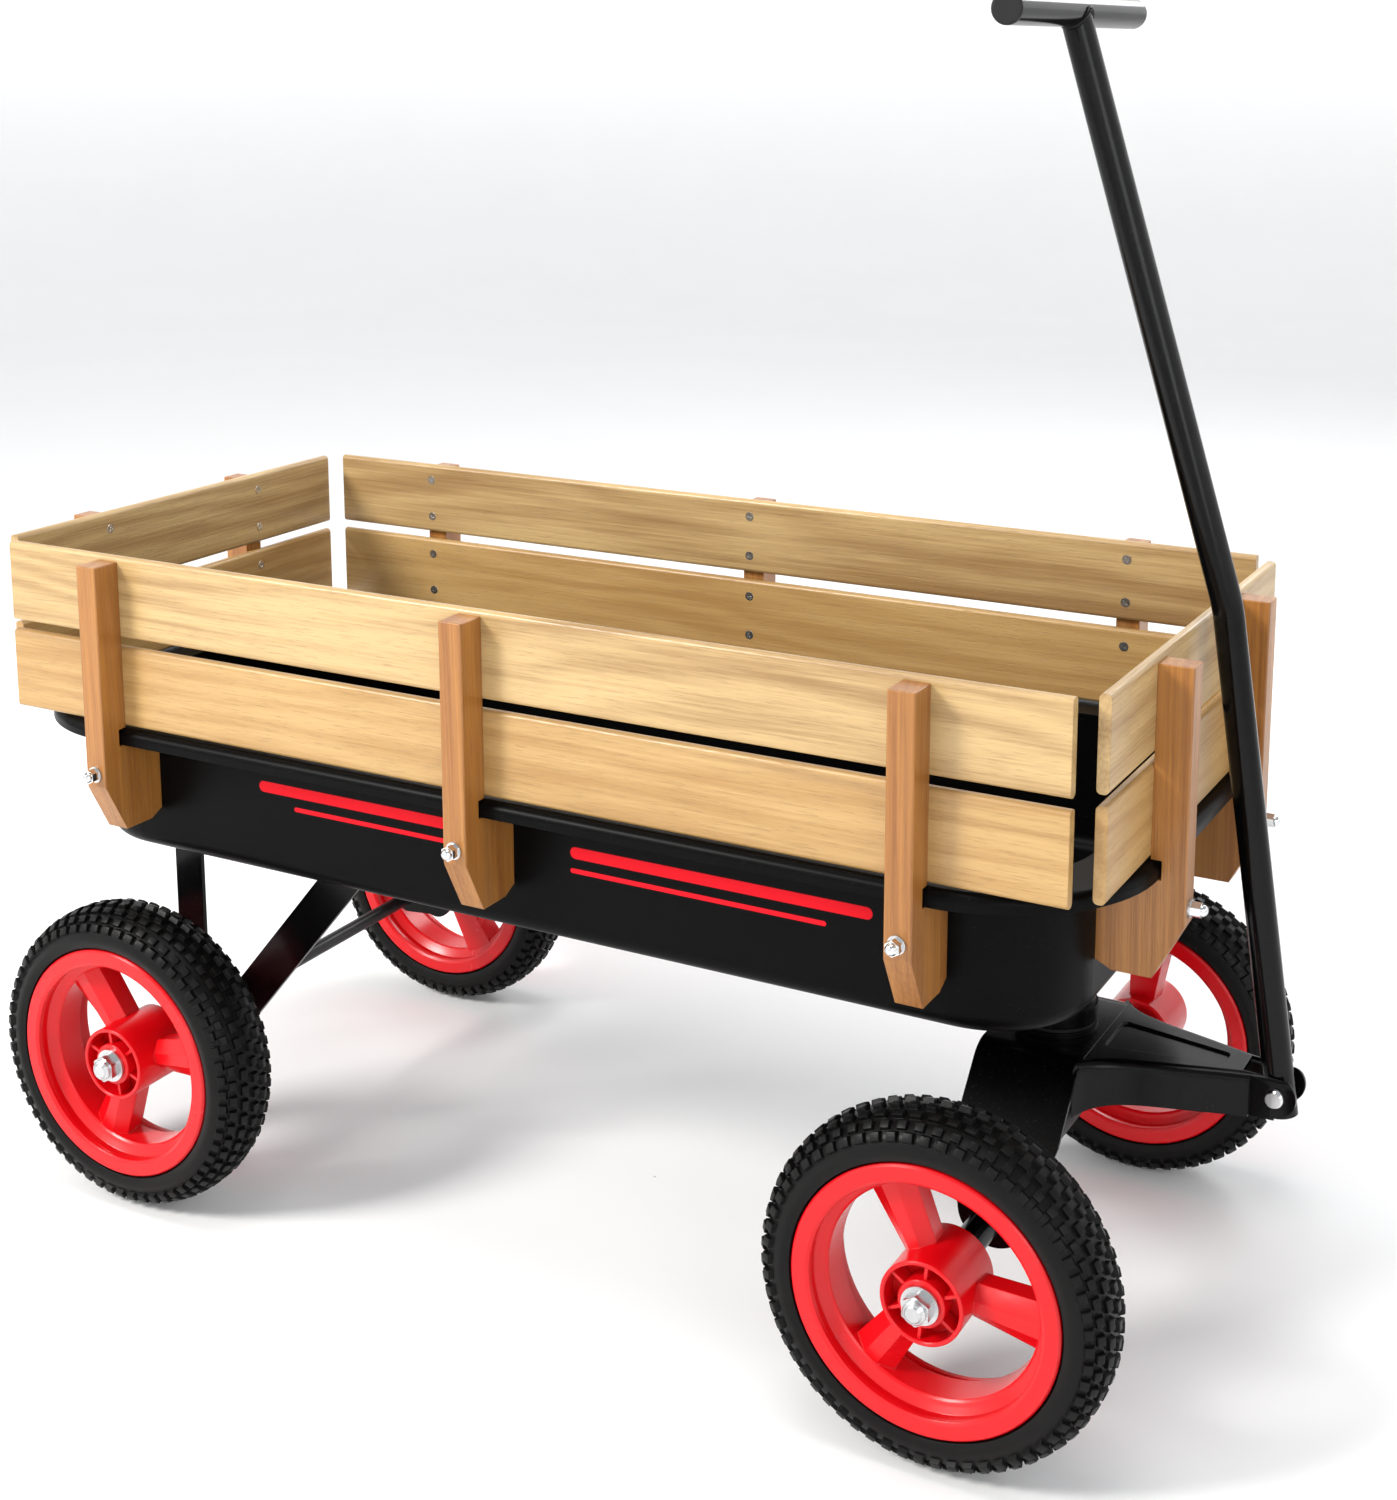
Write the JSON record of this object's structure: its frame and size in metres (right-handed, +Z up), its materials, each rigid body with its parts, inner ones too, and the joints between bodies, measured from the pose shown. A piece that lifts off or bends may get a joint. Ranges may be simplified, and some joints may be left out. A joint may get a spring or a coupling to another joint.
{
  "type": "kids pull wagon",
  "caption": "Child's pull wagon: pressed steel tray with slatted wooden stake sides, spoked plastic wheels with foam tyres, steering bolster and folding T-handle.",
  "frame": {"origin": "on the floor under the middle of the overall length, between the right and left wheels", "axes": "+X towards the handle end, +Y towards the wagon's left side, +Z up; the wheels stand on z = 0"},
  "size_m": [1.0694, 0.5358, 0.977],
  "materials": {
    "black_enamel": "satin black baked enamel on pressed steel",
    "gloss_black": "gloss black paint on steel tube",
    "board_wood": "clear-varnished pale hardwood",
    "stake_wood": "clear-varnished hardwood, a shade darker than the boards",
    "red_plastic": "glossy moulded red plastic",
    "foam_tyre": "matt black foam tyre with a block tread",
    "zinc_plate": "bright zinc plate",
    "bright_chrome": "bright chrome plate",
    "nylon": "black nylon",
    "black_plastic": "smooth black plastic"
  },
  "bodies": {
    "wagon": {"board_front_lower": "board_wood", "board_front_upper": "board_wood", "board_left_lower": "board_wood", "board_left_upper": "board_wood", "board_rear_lower": "board_wood", "board_rear_upper": "board_wood", "board_right_lower": "board_wood", "board_right_upper": "board_wood", "board_screws": "zinc_plate", "kingpin": "zinc_plate", "kingpin_nut": "zinc_plate", "rear_axle": "zinc_plate", "rear_axle_nuts": "zinc_plate", "rear_axle_sleeves": "black_enamel", "rear_axle_washers": "zinc_plate", "rear_brace_left": "black_enamel", "rear_brace_right": "black_enamel", "rear_leg_left": "black_enamel", "rear_leg_right": "black_enamel", "stake_bolts": "zinc_plate", "stake_cap_nuts": "bright_chrome", "stake_front_left": "stake_wood", "stake_front_right": "stake_wood", "stake_left_front": "stake_wood", "stake_left_middle": "stake_wood", "stake_left_rear": "stake_wood", "stake_rear_left": "stake_wood", "stake_rear_right": "stake_wood", "stake_right_front": "stake_wood", "stake_right_middle": "stake_wood", "stake_right_rear": "stake_wood", "stake_washers": "zinc_plate", "tray": "black_enamel", "tray_floor_studs": "zinc_plate", "turntable_bearing": "nylon", "turntable_pedestal": "black_enamel"},
    "steering": {"steering_bolster": "black_enamel", "front_axle": "zinc_plate", "front_axle_sleeves": "black_enamel", "front_axle_washers": "zinc_plate", "front_axle_nuts": "zinc_plate", "pivot_bolt": "bright_chrome", "pivot_nut": "bright_chrome", "pivot_spacers": "nylon"},
    "handle": {"handle_tube": "gloss_black", "grip": "gloss_black", "grip_cap_right": "black_plastic", "grip_cap_left": "black_plastic"},
    "wheel_front_right": {"tyre_front_right": "foam_tyre", "rim_front_right": "red_plastic", "bushes_front_right": "nylon"},
    "wheel_front_left": {"tyre_front_left": "foam_tyre", "rim_front_left": "red_plastic", "bushes_front_left": "nylon"},
    "wheel_rear_right": {"tyre_rear_right": "foam_tyre", "rim_rear_right": "red_plastic", "bushes_rear_right": "nylon"},
    "wheel_rear_left": {"tyre_rear_left": "foam_tyre", "rim_rear_left": "red_plastic", "bushes_rear_left": "nylon"}
  },
  "joints": [
    {"name": "steering", "type": "hinge", "parent": "wagon", "child": "steering", "pos_m": [0.35075, 0, 0.222], "axis": [0, 0, 1], "range_deg": [-20, 20]},
    {"name": "handle_pivot", "type": "hinge", "parent": "steering", "child": "handle", "pos_m": [0.51975, 0, 0.207], "axis": [0, 1, 0], "range_deg": [0, 115]},
    {"name": "spin_front_right", "type": "hinge", "parent": "steering", "child": "wheel_front_right", "pos_m": [0.35075, -0.224, 0.127], "axis": [0, 1, 0], "continuous": true},
    {"name": "spin_front_left", "type": "hinge", "parent": "steering", "child": "wheel_front_left", "pos_m": [0.35075, 0.224, 0.127], "axis": [0, 1, 0], "continuous": true},
    {"name": "spin_rear_right", "type": "hinge", "parent": "wagon", "child": "wheel_rear_right", "pos_m": [-0.36325, -0.224, 0.127], "axis": [0, 1, 0], "continuous": true},
    {"name": "spin_rear_left", "type": "hinge", "parent": "wagon", "child": "wheel_rear_left", "pos_m": [-0.36325, 0.224, 0.127], "axis": [0, 1, 0], "continuous": true}
  ]
}
